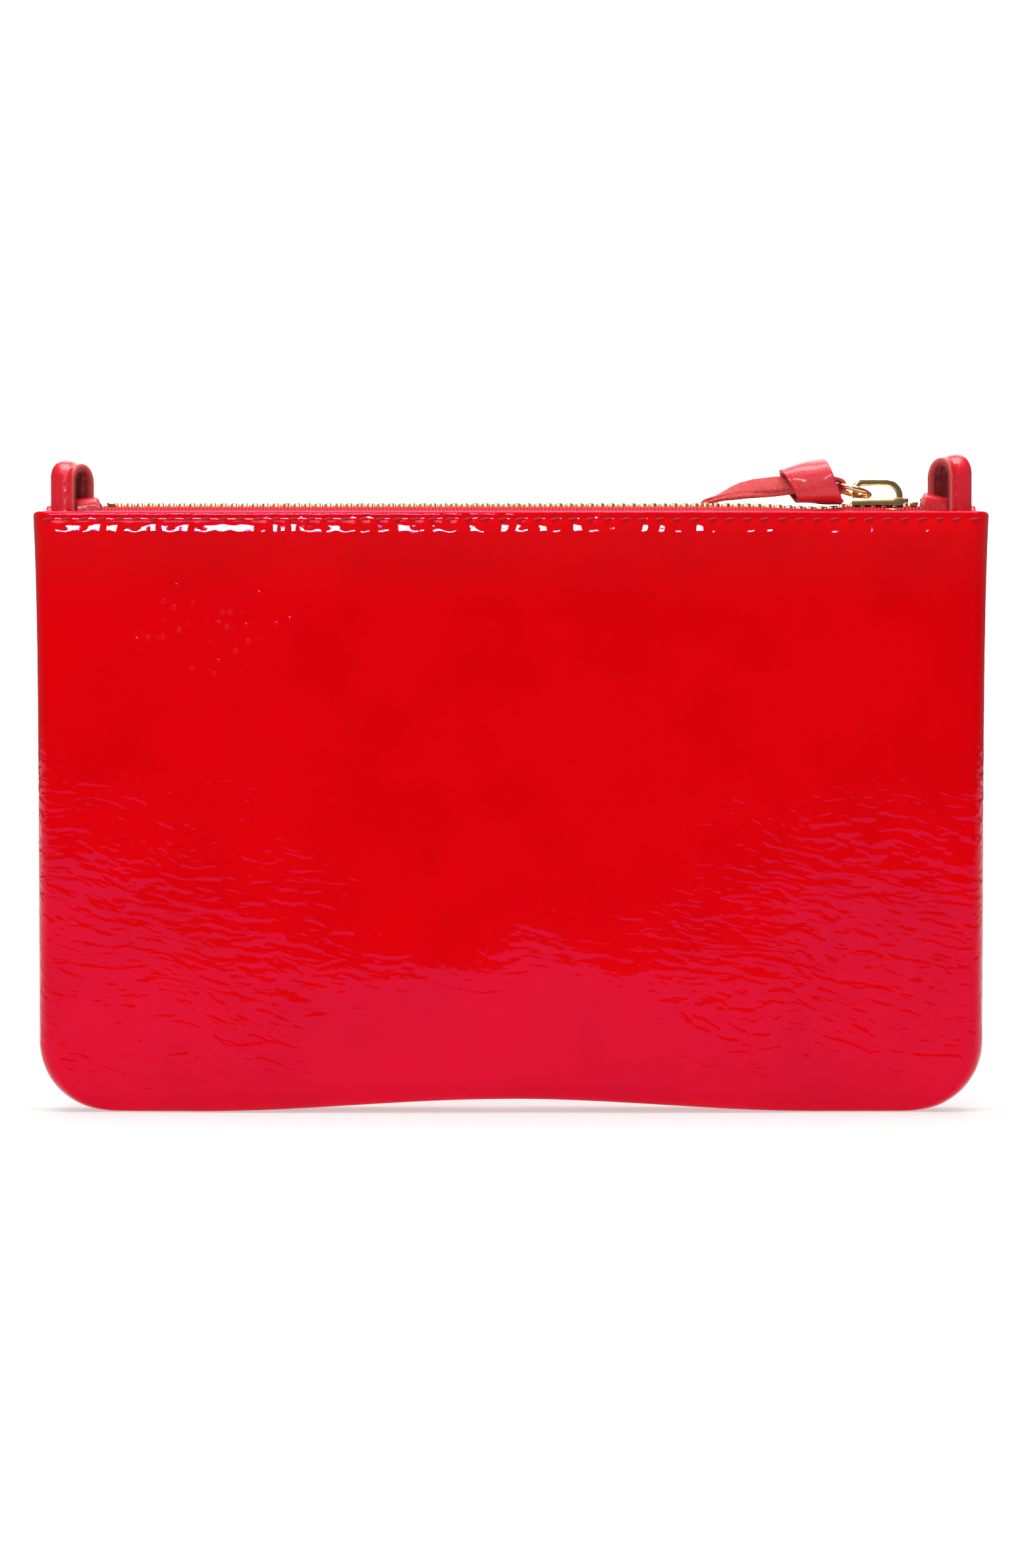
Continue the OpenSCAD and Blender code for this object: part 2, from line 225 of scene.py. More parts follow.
# %% Camera
VIEW_WIDTH = 243.1
VIEW_MIDDLE = 78.3
LENS = 120.0
SENSOR = 36.0
CAMERA_TILT = 1.5
distance = VIEW_WIDTH * LENS / SENSOR
camera = bpy.data.objects.new("camera", bpy.data.cameras.new("camera"))
scene.collection.objects.link(camera)
camera.data.sensor_fit = "HORIZONTAL"
camera.data.sensor_width = SENSOR
camera.data.lens = LENS
camera.data.clip_start = 0.01
camera.data.clip_end = 20
tilt = math.radians(CAMERA_TILT)
camera.location = Vector((
    0,
    -distance * math.cos(tilt) - HEM_HALF,
    VIEW_MIDDLE + distance * math.sin(tilt),
)) * MM
camera.rotation_euler = (math.radians(90) - tilt, 0, 0)
scene.camera = camera
print("camera", round(distance), "mm away")

# %% [markdown]
# ## Finishes
#
# A finish is a material made of nodes. Writing node graphs by hand is slow to read, so one small
# class wraps a socket: adding or multiplying two wrapped sockets adds the Math node that does it.

# %% A socket that can be used in sums
PER_METRE = 1000.0


class Socket:
    def __init__(self, finish, socket):
        self.finish = finish
        self.socket = socket

    def maths(self, operation, *values):
        sockets = dict(enumerate(values))
        return self.finish.put("ShaderNodeMath", {"operation": operation}, sockets)

    def __add__(self, other):
        return self.maths("ADD", self, other)

    def __sub__(self, other):
        return self.maths("SUBTRACT", self, other)

    def __rsub__(self, other):
        return self.maths("SUBTRACT", other, self)

    def __mul__(self, other):
        return self.maths("MULTIPLY", self, other)

    def __truediv__(self, other):
        return self.maths("DIVIDE", self, other)

    def between(self, low, high):
        """0 where the value is below low, 1 above high, and smooth between."""
        return self.finish.put(
            "ShaderNodeMapRange", {"interpolation_type": "SMOOTHSTEP"},
            {"Value": self, "From Min": low, "From Max": high},
        )


class Finish:
    def __init__(self, name, **constants):
        self.material = bpy.data.materials.new(name)
        self.material.use_nodes = True
        self.tree = self.material.node_tree
        self.shader = self.tree.nodes["Principled BSDF"]
        for key, value in constants.items():
            self.shader.inputs[key.replace("_", " ")].default_value = value

    def feed(self, socket, value):
        if isinstance(value, Socket):
            self.tree.links.new(value.socket, socket)
        else:
            socket.default_value = value

    def put(self, kind, settings=None, sockets=None, out=0):
        """Adds a node: its settings first, then the values or links of its sockets."""
        node = self.tree.nodes.new(kind)
        for key, value in (settings or {}).items():
            if key == "stops":
                ramp = node.color_ramp.elements
                while len(ramp) < len(value):
                    ramp.new(1.0)
                for element, (position, colour) in zip(ramp, value):
                    element.position = position
                    element.color = colour
            else:
                setattr(node, key, value)
        for key, value in (sockets or {}).items():
            self.feed(node.inputs[key], value)
        return Socket(self, node.outputs[out])

    def place(self, scale=(1, 1, 1)):
        """Object coordinates in millimetres, stretched."""
        where = self.put("ShaderNodeTexCoord", out="Object")
        return self.put(
            "ShaderNodeMapping", None,
            {"Vector": where, "Scale": [PER_METRE * s for s in scale]},
        )

    def axis(self, letter):
        where = self.put("ShaderNodeTexCoord", out="Object")
        return self.put("ShaderNodeSeparateXYZ", None, {0: where}, out=letter) * PER_METRE

    def noise(self, size, detail=2.0, scale=(1, 1, 1), roughness=0.5, distortion=0.0):
        """Soft noise whose patches are about size millimetres."""
        return self.put(
            "ShaderNodeTexNoise", None,
            {"Vector": self.place(scale), "Scale": 1 / size, "Detail": detail,
             "Roughness": roughness, "Distortion": distortion},
        )

    def wrinkles(self, size, length, turn, drift=9.0, wander=24.0):
        """Noise drawn out into short lines, whose direction wanders over the skin."""
        where = self.place()
        sway = self.put("ShaderNodeTexNoise", None,
                        {"Vector": where, "Scale": 1 / wander, "Detail": 1.0}, out="Color")
        bent = self.put("ShaderNodeVectorMath", {"operation": "MULTIPLY_ADD"},
                        {0: sway, 1: (drift, drift, drift), 2: where})
        turned = self.put("ShaderNodeMapping", None, {"Vector": bent, "Rotation": (0, turn, 0)})
        drawn = self.put("ShaderNodeMapping", None,
                         {"Vector": turned, "Scale": (size / length, 1, 1)})
        return self.put("ShaderNodeTexNoise", None,
                        {"Vector": drawn, "Scale": 1 / size, "Detail": 1.5})

    def cells(self, size, feature="F1"):
        return self.put(
            "ShaderNodeTexVoronoi", {"feature": feature},
            {"Vector": self.place(), "Scale": 1 / size},
        )

    def stored(self, name):
        return self.put("ShaderNodeAttribute", {"attribute_name": name}, out="Fac")

    def mix(self, factor, first, second):
        """Mixes two colours."""
        node = self.tree.nodes.new("ShaderNodeMix")
        node.data_type = "RGBA"
        self.feed(node.inputs["Factor"], factor)
        for key, value in (("A", first), ("B", second)):
            socket = [s for s in node.inputs if s.name == key and s.type == "RGBA"][0]
            self.feed(socket, value if isinstance(value, Socket) else (*value, 1.0))
        out = [s for s in node.outputs if s.type == "RGBA"][0]
        return Socket(self, out)

    def bump(self, height_mm, under=None):
        sockets = {"Height": height_mm, "Distance": MM, "Strength": 1.0}
        if under:
            sockets["Normal"] = under
        return self.put("ShaderNodeBump", None, sockets)

    def use(self, **sockets):
        for key, value in sockets.items():
            self.feed(self.shader.inputs[key.replace("_", " ")], value)
        return self.material


# %% [markdown]
# Patent leather is a saturated skin under a thick clear lacquer. The colour lies deep and even,
# and almost everything that the eye reads as surface is reflection, so the work is in the bump:
# long soft undulations, crumpled lines low down where the pouch has been handled, a few pebbles
# near the left end of the hem, and a faint grain. The tinted reflection is cool and dim. A clear
# coat on the hem and the pebbles adds a white one, which gives them their glints.

# %% Patent leather
RED = (0.80, 0.0003, 0.0006)
DEEP_RED = (0.74, 0.0002, 0.0005)


def patent_leather():
    f = Finish("patent_leather", Roughness=0.035, Specular_IOR_Level=0.5, IOR=1.5,
               Specular_Tint=(0.35, 0.14, 0.72, 1.0), Coat_Roughness=0.02, Coat_IOR=1.45)
    across, height = f.axis("X"), f.axis("Z")
    handled = (across * across).between(250, 3600) * height.between(96, 66)
    under_edge = height.between(TOP - 0.5, TOP - 0.9)
    hem_zone = height.between(118, 139) * under_edge * f.axis("Y").between(1, -3)
    left = (across + 72) / 24
    above = (height - 115) / 14
    pebbled = (left * left + above * above).between(1.1, 0.1)
    lines = f.wrinkles(2.3, 6.5, turn=-0.2).between(0.28, 0.72)
    spots = f.cells(3.4)
    pebbles = spots.between(0.20, 0.04) * pebbled
    relief = f.noise(9, 1.0) * 0.12 + lines * (handled * 0.085 + 0.020)
    relief = relief + pebbles * 0.16 + f.noise(0.8, 2.0) * 0.006 + f.noise(2.6, 1.0) * 0.032
    depth = f.noise(22, 2.0).between(0.35, 0.7)
    coat = hem_zone * 0.8 + spots.between(0.30, 0.20) * pebbled * 0.9 + 0.03
    return f.use(Base_Color=f.mix(depth, RED, DEEP_RED), Normal=f.bump(relief), Coat_Weight=coat)


PATENT = patent_leather()
print("made", PATENT.name)

# %% [markdown]
# The loops and tabs are cut from the same skin, but bending has broken its gloss into grain. The
# places where the knife went through show the raw fibre, pale coral and dull. A value stored on
# the mesh, called raw, tells the finish where those places are. Another, called inside, paints
# shade into the hollow under a loop's arch: a dull dark red where the light does not reach.

# %% Folded leather and raw edges
def darker(colour, share):
    return tuple(c * share for c in colour)


def folded_leather(name, gloss, grain_mm, top, raw_colour):
    f = Finish(name, Specular_IOR_Level=0.5)
    raw = f.stored("raw").between(0.35, 0.65)
    pores = f.cells(grain_mm, "DISTANCE_TO_EDGE")
    ridges = f.noise(grain_mm * 4, 3.0, distortion=0.6)
    fibre = f.noise(0.28, 4.0, roughness=0.7)
    bump = f.bump(pores.between(0.0, 0.35) * 0.022 * (1 - raw) + ridges * 0.05)
    bump = f.bump(fibre * (raw * 0.10 + 0.006), bump)
    speckle = f.noise(0.5, 4.0, roughness=0.7).between(0.38, 0.62)
    shade = f.noise(5, 2.0).between(0.3, 0.7)
    skin = f.mix(shade, top, darker(top, 0.90))
    flesh = f.mix(speckle, darker(raw_colour, 0.62), raw_colour)
    rough = raw * 0.50 + gloss + f.noise(1.2, 2.0) * 0.06
    # painted shade: where inside is 1, in the hollow under a loop's arch, the colour turns a dark red and
    # the gloss goes
    inside = f.stored("inside")
    colour = f.mix(inside, f.mix(raw, skin, flesh), darker(top, 0.28))
    return f.use(Base_Color=colour, Normal=bump, Roughness=rough + inside * 0.3,
                 Coat_Weight=(1 - raw) * (1 - inside) * 0.25)


LOOP_LEATHER = folded_leather("loop_leather", 0.24, 0.45, top=(0.80, 0.012, 0.030),
                              raw_colour=(0.80, 0.115, 0.105))
PULL_LEATHER = folded_leather("pull_leather", 0.30, 0.38, top=(0.80, 0.012, 0.028),
                              raw_colour=(0.78, 0.075, 0.080))
print("made", LOOP_LEATHER.name, PULL_LEATHER.name)

# %% [markdown]
# Cloth needs two sets of threads that pass over and under each other. A sine along the warp times
# a sine along the weft gives that, as a bump and as painted shade where the bump is low. The tape
# and the lining carry a UV map in millimetres, so that the weave follows the sheet where it bends.

# %% Woven cloth
def woven(name, thread_mm, colour, dark, rib=1.0):
    f = Finish(name, Roughness=0.8, Specular_IOR_Level=0.2)
    uv = f.put("ShaderNodeUVMap", {"uv_map": "cloth"})
    along = f.put("ShaderNodeSeparateXYZ", None, {0: uv}, out="X") * (math.pi / thread_mm)
    across = f.put("ShaderNodeSeparateXYZ", None, {0: uv}, out="Y") * (math.pi / (thread_mm * rib))
    weave = along.maths("SINE", along) * across.maths("SINE", across)
    threads = weave * 0.5 + 0.5
    fuzz = f.noise(0.2, 3.0, roughness=0.7)
    # painted shade: where the weave's bump is low, between the threads, the colour turns to the dark one
    colour = f.mix(threads.between(0.1, 0.8), dark, colour)
    return f.use(Base_Color=colour, Normal=f.bump(threads * 0.12 + fuzz * 0.05),
                 Roughness=fuzz * 0.2 + 0.65)


TAPE_CLOTH = woven("tape_cloth", 0.42, (0.78, 0.030, 0.048), (0.30, 0.003, 0.008), rib=1.5)
LINING_CLOTH = woven("lining_cloth", 0.35, (0.40, 0.035, 0.035), (0.24, 0.012, 0.014))


def thread_finish():
    f = Finish("sewing_thread", Specular_IOR_Level=0.2)
    twist = (f.axis("X") + f.axis("Z") * 1.6) * (2 * math.pi / 0.38)
    strand = twist.maths("SINE", twist) * 0.5 + 0.5
    # painted shade: the grooves of the twist, where the bump is low, take the darker red
    colour = f.mix(strand, (0.46, 0.003, 0.014), (0.74, 0.014, 0.045))
    return f.use(Base_Color=colour, Normal=f.bump(strand * 0.06),
                 Roughness=f.noise(0.3) * 0.2 + 0.42)


THREAD = thread_finish()
print("made", TAPE_CLOTH.name, LINING_CLOTH.name, THREAD.name)

# %% [markdown]
# The metal is thin pale gold plating, polished and a little scratched. Plain noise darkens it in
# patches and makes them rougher. The teeth are duller and browner than the castings.

# %% Gold plating
def gold(name, colour, dark, rough):
    f = Finish(name, Metallic=1.0)
    # plain noise: darker, rougher patches at random places on the metal
    dark_patches = f.noise(2.5, 4.0, roughness=0.65)
    scratch = f.noise(0.5, 3.0, scale=(0.12, 1, 1))
    tone = f.mix(dark_patches.between(0.35, 0.68), colour, dark)
    bump = f.bump(scratch * 0.004 + f.noise(3.0) * 0.02)
    return f.use(Base_Color=tone, Roughness=dark_patches * 0.10 + rough, Normal=bump)


GOLD = gold("gold_plating", (0.93, 0.69, 0.36), (0.78, 0.50, 0.22), 0.12)
GOLD_TEETH = gold("gold_teeth", (0.70, 0.54, 0.30), (0.40, 0.26, 0.11), 0.30)
print("made", GOLD.name, GOLD_TEETH.name)

# %% [markdown]
# ## The two leather halves
#
# Each half is one piece of leather: it swells out from the seam, rolls round the sides and the
# bottom, and folds in at the top to make the hem. Real patent leather is never flat, so the sheet
# gets long waves, a groove where the hem's stitches pull it in, a soft roll under that groove,
# and crumpled creases in the lower part, where it has been bent. The waves are modelled in the
# mesh and not in the finish, because they change the outline and the long reflections.

# %% The form of one half
SEAM = 0.15
CORNER_R = 16.5
EDGE_R = 4.0
BOTTOM_R = 4.5
BOTTOM_FLAT = 0.75
STAND_X = 76.0
BOTTOM_LIFT = 3.0
FLARE = 1.1
BELLY = 0.8


def swell(x, z):
    """Half of the outside thickness."""
    s = z / TOP
    form = HEM_HALF - 0.4 * (1 - s) + BELLY * 1.4 * math.sin(math.pi * max(0, s) ** 0.8)
    return form * (1 - 0.12 * (x / HALF_W) ** 2 * (1 - s * s))


def side_x(z):
    return HALF_W - FLARE * (1 - (z / TOP) ** 6)


def half_width(z, inset):
    r = CORNER_R - inset
    up = z - inset
    cut = 0 if up >= r else r - math.sqrt(max(0, r * r - (r - up) ** 2))
    return side_x(z) - inset - cut


def edge_round(depth, r):
    if depth <= 0:
        return 0
    return 1 if depth >= r else math.sqrt(1 - (1 - depth / r) ** 2)


def lift(x):
    return 0 if abs(x) >= STAND_X else BOTTOM_LIFT * math.cos(math.pi / 2 * x / STAND_X) ** 2


def soft_noise(x, z, size_x, size_z, seed):
    return noise.noise(Vector((x / size_x + seed, z / size_z, seed * 1.7)))


def lean(x):
    """How much faster the leather swells with height at x: most near both ends, where the filled
    corners push it out, and a little where an old fold crosses the middle."""
    ends = 0.060 * smooth_step(-55, -108, x) + 0.050 * smooth_step(50, 82, x)
    return ends - 0.020 + 0.018 * bell(x, 6, 9)


def waves(x, z, side):
    """How far the leather stands out from its plain form. The lining follows it."""
    calm = smooth_step(0, 14, z) * smooth_step(TOP, TOP - 18, z)
    leaning = lean(-x if side else x) * (55 * smooth_step(5, 90, z) - 28) * smooth_step(128, 80, z)
    long_wave = 0.26 * soft_noise(x, z, 52, 40, 3.1 + side)
    wave = 0.10 * soft_noise(x, z, 21, 17, 7.7 + side)
    return leaning + calm * (long_wave + wave)


def creases(x, z, side):
    """A few soft crumples in the lower half, and one dent near the far bottom corner."""
    place = smooth_step(72, 50, z) * smooth_step(2, 12, z) * smooth_step(HALF_W, HALF_W - 8, abs(x))
    warp = 2.5 * soft_noise(x, z, 18, 18, 1.9 + side)
    fine = 1 - abs(soft_noise(x - warp, z + warp, 9, 4.2, 9.4 + side)) * 2.8
    dent = 0.30 * bell(x, 83, 9) * bell(z, 13, 8) if not side else 0
    return place * 0.05 * max(0, fine) * smooth_step(20, 60, abs(x)) + dent


def hem_relief(x, z):
    """The groove under the stitches, the soft roll below it, and the worn lip along the top."""
    stitch = math.cos(2 * math.pi * x / STITCH_PITCH)
    groove = -0.16 * bell(z, STITCH_Z, 0.6) * (1 - 0.35 * stitch)
    uneven = 1 + 0.7 * noise.noise(Vector((x / 3.1, 4.2, 0.5)))
    down = STITCH_Z + 0.1 - z
    ramp = smooth_step(-0.6, 3.2, down) if down < 1.3 else min(1.0, 0.5 + 0.27 * (down - 1.3))
    pucker = 1 + 0.25 * stitch * bell(down, 1.6, 1.6)
    roll = 0.46 * uneven * ramp * smooth_step(15, 4, down) * pucker
    worn = 1 + 0.8 * noise.noise(Vector((x / 1.9, 9.1, 0.5)))
    lip = -0.16 * worn * min(0.65, max(0, z - TOP + 1.75))
    ends = smooth_step(HALF_W - 1, HALF_W - 6, abs(x))
    return ends * (groove + roll + lip)


def half_point(x, z, inset, flat, side):
    """A point of the front half at x and z, inset inside the skin. flat is 0 at the seam. Skin
    and lining follow the waves, and the edge turned in under the hem stays plain."""
    w = half_width(z, inset)
    inward = w - abs(x)
    round_side = edge_round(inward, EDGE_R - inset)
    bottom = BOTTOM_FLAT + (1 - BOTTOM_FLAT) * edge_round(z - inset, BOTTOM_R - inset)
    depth = swell(x, z) - SEAM - inset
    depth += waves(x, z, side) if inset < 1.5 else 0
    if inset < 0.01:
        depth += creases(x, z, side) + hem_relief(x, z)
    return x, -SEAM - depth * round_side * bottom * flat, z + lift(x) * (1 - z / TOP)


# %% Columns and rows of a half
COLUMNS = 270
EDGE_COLUMNS = 9
SKIN_ROWS = 150
NEAR_HEM = 14
ARC_ROWS = 8
FLAT_ROWS = 3
FOLD_ROWS = 8
TURNED_ROWS = 5
FLAT_INSET = 1.5


def column_x(i, w, r):
    """Columns stand close together round the side edges and evenly between them."""
    j = min(i, COLUMNS - i)
    if j <= EDGE_COLUMNS:
        inward = r * (1 - math.cos(math.pi / 2 * j / EDGE_COLUMNS))
    else:
        inward = r + (w - r) * 2 * (j - EDGE_COLUMNS) / (COLUMNS - 2 * EDGE_COLUMNS)
    return (-1 if 2 * i < COLUMNS else 1) * (w - inward)


def leather_rows():
    """Each row is (height, inset, flat), from the seam over the flat bottom, the rounded edge,
    the skin and the fold to the turned edge. A quarter of the skin's rows lie near the hem."""
    rows = [(0, 0, k / FLAT_ROWS) for k in range(FLAT_ROWS)]
    rows += [(BOTTOM_R * (1 - math.cos(math.pi / 2 * k / ARC_ROWS)), 0, 1) for k in range(ARC_ROWS)]
    straight = TOP - FOLD_R - BOTTOM_R
    near = SKIN_ROWS // 4
    plain = SKIN_ROWS - near
    rows += [(BOTTOM_R + (straight - NEAR_HEM) * k / plain, 0, 1) for k in range(plain)]
    rows += [(BOTTOM_R + straight - NEAR_HEM * (1 - k / near), 0, 1) for k in range(near)]
    for k in range(FOLD_ROWS + 1):
        a = math.pi * k / FOLD_ROWS
        rows.append((TOP - FOLD_R + FOLD_R * math.sin(a), FOLD_R * (1 - math.cos(a)), 1))
    for k in range(1, TURNED_ROWS + 1):
        rows.append((TOP - FOLD_R - (HEM_DEPTH - FOLD_R) * k / TURNED_ROWS, 2 * FOLD_R, 1))
    return rows


def leather_half(name, side):
    """side is 0 for the front, and 1 for the back, which is mirrored."""
    rows = leather_rows()

    def place(i, j):
        z, inset, flat = rows[j]
        w = half_width(z, inset) - (FLAT_INSET if flat < 1 else 0)
        return half_point(column_x(i, w, EDGE_R - inset), z, inset, flat, side)

    bm = grid(COLUMNS, len(rows) - 1, place)
    if side:
        mirror(bm)
    weld(bm, 0.001)
    return thicken(make(name, bm), LEATHER_THICK)


# %% [markdown]
# ## How the mouth opens
#
# The real pouch has no hinge. When the slider runs back, the two rows of teeth let go of each
# other behind it, and the front bows outwards in the middle while its ends stay shut. The packed
# model turns the whole front about the bottom edge, so here each front piece gets a weight: how
# much of that turn it follows. The weight is 0 at the sides, at the bottom and where the zip is
# still shut, and 1 at the top in the middle of the open stretch.

# %% Weights of the open mouth
OPEN_FROM = SLIDER_LEFT - TRAVEL + 4.5
OPEN_TO = ZIP_HALF - 0.7


def mouth_weight(p):
    along = (p.x - OPEN_FROM) / (OPEN_TO - OPEN_FROM)
    if not 0 < along < 1:
        return 0.0
    return math.sin(math.pi * along) ** 2 * smooth_step(0, TOP * 0.98, p.z)


def bows(piece, weight_at):
    """piece follows the open mouth."""
    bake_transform(piece, "root", "front_leaf", start=(0, 0, 0), end=(0, 0, TOP * MM))
    values = [weight_at(v.co / MM) for v in piece.data.vertices]
    piece.data.attributes["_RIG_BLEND"].data.foreach_set("value", values)


def both_halves(build, name, finish, slot, node, declare=None, weight_at=mouth_weight):
    """Builds a piece of the front, which bows with the mouth, and its twin at the back."""
    for side, half in enumerate(("front", "back")):
        piece = build(f"{half}_{name}", side)
        settle(piece, "root" if side else None, finish, slot, f"{half}_{node}")
        if declare:
            declare(piece, half + "_leather")
        if not side:
            bows(piece, weight_at)


both_halves(leather_half, "leather", PATENT, "patent_leather", "panel")

# %% [markdown]
# The lining is a bag of plain cloth inside the leather, sewn in under the hem. Only an open mouth
# shows it, so a thin bent sheet a little inside the leather is enough. It is cut a little larger
# than the mesh of one half, because the real cloth turns round the edges to the seam.

# %% Lining
LINING_INSET = 1.1
LINING_THICK = 0.4
LINING_RISE = TOP - HEM_DEPTH - LINING_INSET
LINING_COLUMNS = 90
LINING_ROWS = 60


def lay_cloth(piece):
    """Stores a UV map in millimetres: along the sheet, and up or across it."""
    layer = piece.data.uv_layers.new(name="cloth")
    for loop in piece.data.loops:
        p = piece.data.vertices[loop.vertex_index].co / MM
        layer.data[loop.index].uv = (p.x, p.z + abs(p.y))


def lining_half(name, side):
    rows = [(LINING_INSET, k / FLAT_ROWS) for k in range(FLAT_ROWS)]
    for k in range(LINING_ROWS + 1):
        rows.append((LINING_INSET + LINING_RISE * (k / LINING_ROWS) ** 1.3, 1))

    def place(i, j):
        z, flat = rows[j]
        x = -half_width(z, LINING_INSET) * math.cos(math.pi * i / LINING_COLUMNS)
        return half_point(x, z, LINING_INSET, flat, side)

    bm = grid(LINING_COLUMNS, len(rows) - 1, place)
    if side:
        mirror(bm)
    weld(bm, 0.001)
    piece = make(name, bm)
    lay_cloth(piece)
    return thicken(piece, LINING_THICK)


def declare_cloth(piece, hangs_from):
    """The cut is worked out as on a cutting table: the outline, what it takes to turn round the
    edges to the seam, and its bottom corners rounded off."""
    deep = HEM_HALF - LINING_INSET
    r = EDGE_R - LINING_INSET
    turned = math.pi / 2 * math.sqrt((deep * deep + r * r) / 2) - r
    wide = 2 * (HALF_W - FLARE / 2 - LINING_INSET + turned)
    high = LINING_RISE + deep
    area = wide * high - 2 * (1 - math.pi / 4) * (CORNER_R + turned) ** 2
    wide * MM
    area * MM * MM
    print(piece.name, "cut", round(wide, 1), "x", round(high, 1), "mm,", round(area / 100), "cm2")


both_halves(lining_half, "lining_cloth", LINING_CLOTH, "lining_cloth", "lining", declare_cloth)

# %% [markdown]
# ## Thread
#
# One stitch is a short length of twisted thread that dives into the leather at both ends. A
# sphere drawn out along X, bent and tilted gives that with few faces, and the row repeats it. The
# stitches lie at a slant, as a saddler's do.

# %% Stitches
STITCH_LENGTH = STITCH_PITCH * 0.80
STITCH_R = 0.30
STITCH_SINK = 0.35
STITCH_OUT = 0.12
STITCH_SLANT = Matrix.Rotation(math.radians(-10), 3, "Y")


def stitch(bm, middle):
    """Adds one slanted stitch along X, with its ends sunk in."""
    made = bmesh.ops.create_uvsphere(bm, u_segments=8, v_segments=8, radius=1.0)["verts"]
    for v in made:
        along, across, up = v.co.z, v.co.x, v.co.y
        thick = STITCH_R * (1.15 - 0.35 * along * along)
        offset = Vector((along * STITCH_LENGTH / 2, across * thick, up * thick))
        offset.y += STITCH_SINK * along * along
        v.co = (STITCH_SLANT @ offset + middle) * MM


def hem_stitches(name, side):
    bm = bmesh.new()
    for k in range(STITCH_COUNT):
        x = (k - (STITCH_COUNT - 1) / 2) * STITCH_PITCH
        y = half_point(x, STITCH_Z, 0, 1, side)[1] - STITCH_OUT
        stitch(bm, Vector((x, y, STITCH_Z)))
    if side:
        mirror(bm)
    return make(name, bm)


both_halves(hem_stitches, "hem_stitches", THREAD, "thread", "hem_thread")

# %% [markdown]
# ## The zip
#
# A metal zip is two woven tapes with a row of teeth clamped on the edge of each. The tape comes
# up inside the hem, turns over a soft shoulder and runs in to the teeth. It is a bent sheet, so
# its profile is a short list of points with the shoulder as an arc.

# %% Tapes
TAPE_GAP = 0.25
TAPE_Y = HEM_HALF - 2 * FOLD_R - TAPE_GAP
TAPE_THICK = 0.4
TAPE_COLUMNS = 240
TAPE_DIP = 0.5
TAPE_PUCKER = 0.14
TEETH_EDGE = 1.15
SHOULDER = 1.5
SHOULDER_STEPS = 6
TAPE_LOW = TOP - HEM_DEPTH - 1
PART_X = NOSE - 10.9
PART_Y = 1.4
SAG = 0.85


def parting(x):
    """How far a row of teeth has moved out at x, inside the slider and past it."""
    return PART_Y * smooth_step(PART_X, NOSE + 0.6, x)


def sag(x):
    """The zip dips a little under the weight of the pull, and is level again in the slider."""
    level = smooth_step(SLIDER_LEFT - 0.5, SLIDER_LEFT - 4.5, x)
    return -SAG * bell(x, SLIDER_LEFT - 9, 9) * level


def tape_profile():
    """Points (y, z) on the tape's upper side, from low inside the hem to the teeth."""
    points = [(-TAPE_Y, TAPE_LOW + (ZIP_Z - SHOULDER - TAPE_LOW) * k / 6) for k in range(6)]
    for k in range(SHOULDER_STEPS + 1):
        a = math.pi / 2 * k / SHOULDER_STEPS
        y = -TAPE_Y + SHOULDER * (1 - math.cos(a))
        points.append((y, ZIP_Z - SHOULDER + SHOULDER * math.sin(a)))
    inner = -TAPE_Y + SHOULDER
    points += [(inner + (-TEETH_EDGE - inner) * k / 4, ZIP_Z) for k in range(1, 5)]
    return points


def tape(name, side):
    """share is 0 where the tape is sewn to the hem and 1 at the teeth, which pucker its edge."""
    profile = tape_profile()

    def place(i, j):
        x = -ZIP_HALF + 2 * ZIP_HALF * i / TAPE_COLUMNS
        y, z = profile[j]
        share = (y + TAPE_Y) / (TAPE_Y - TEETH_EDGE)
        y -= parting(x) * share * 0.8
        z += TAPE_THICK / 2 + sag(x) * share - TAPE_DIP * (1 - share)
        pucker = math.sin(x * 2 * math.pi / TOOTH_PITCH)
        z += TAPE_PUCKER * smooth_step(0.3, 1, share) * pucker
        return x, y, z

    bm = grid(TAPE_COLUMNS, len(profile) - 1, place)
    if side:
        mirror(bm)
    piece = make(name, bm)
    lay_cloth(piece)
    return thicken(piece, TAPE_THICK)


def declare_tape(piece, sewn_to):
    """A tape is a straight strip, so its flat width is the length of its profile."""
    rise = ZIP_Z - SHOULDER - TAPE_LOW
    across = rise + math.pi / 2 * SHOULDER + TAPE_Y - SHOULDER - TEETH_EDGE
    across * MM
    print(piece.name, "cut", round(2 * ZIP_HALF, 1), "x", round(across, 1), "mm")


both_halves(tape, "tape", TAPE_CLOTH, "zip_tape", "zip_tape", declare_tape)

# %% [markdown]
# A tooth is a small bent strip of metal: two jaws clamp the tape's edge, and the head in front of
# them has a dimple that the next tooth's knob sits in. At this size the jaws, the narrower head
# and rounded edges are what shows. One tooth is made and bevelled once, then copied along.

# %% Teeth
TOOTH_WIDTH = 1.25
TOOTH_BACK = 2.0
TOOTH_HALF = 1.0
TOOTH_REACH = 0.55
FIRST_TOOTH = -ZIP_HALF + 4.2
TEETH_END = ZIP_HALF - 2.8


